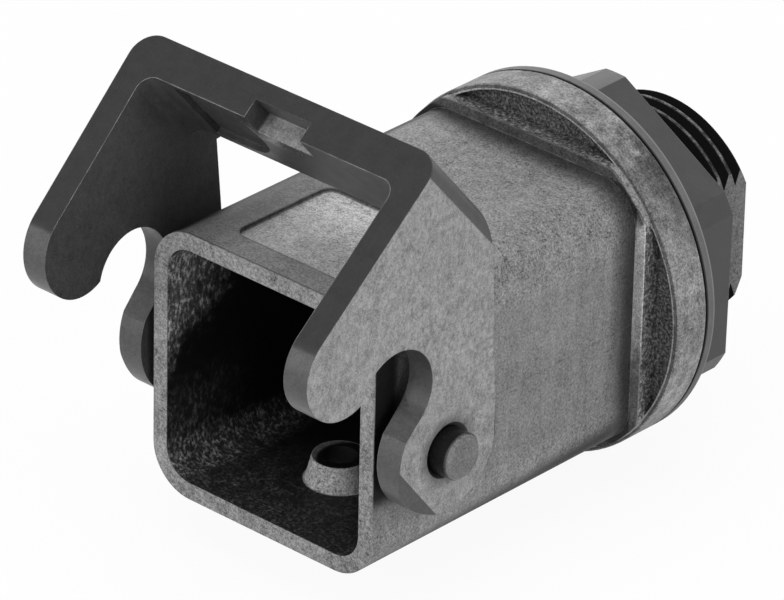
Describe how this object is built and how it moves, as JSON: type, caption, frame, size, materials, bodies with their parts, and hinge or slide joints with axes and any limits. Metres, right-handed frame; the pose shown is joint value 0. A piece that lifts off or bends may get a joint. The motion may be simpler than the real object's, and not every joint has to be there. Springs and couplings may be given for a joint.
{
  "type": "rectangular connector hood",
  "caption": "Square plastic connector hood with a swinging U-shaped locking lever, a round flange with a seal, a threaded panel stub and a hexagon locknut.",
  "frame": {"origin": "centre of the flange's rear face, on the axis of the stub and the tube", "axes": "-Y to the mating mouth, +Y to the cable end, +Z to the side that the lever's crossbar is on, X along the lever's pivot"},
  "size_m": [0.0388, 0.0685, 0.0475],
  "materials": {
    "housing_plastic": "fine speckled grain",
    "lever_plastic": "smooth satin",
    "seal_rubber": "smooth matt",
    "nut_plastic": "smooth satin"
  },
  "bodies": {
    "hood": {"housing": "housing_plastic", "flange_seal": "seal_rubber", "locknut": "nut_plastic"},
    "lever": {"locking_lever": "lever_plastic"}
  },
  "joints": [
    {"name": "lever_pivot", "type": "hinge", "parent": "hood", "child": "lever", "pos_m": [0, -0.03435, -0.0001], "axis": [1, 0, 0], "range_deg": [-38, 50]}
  ]
}
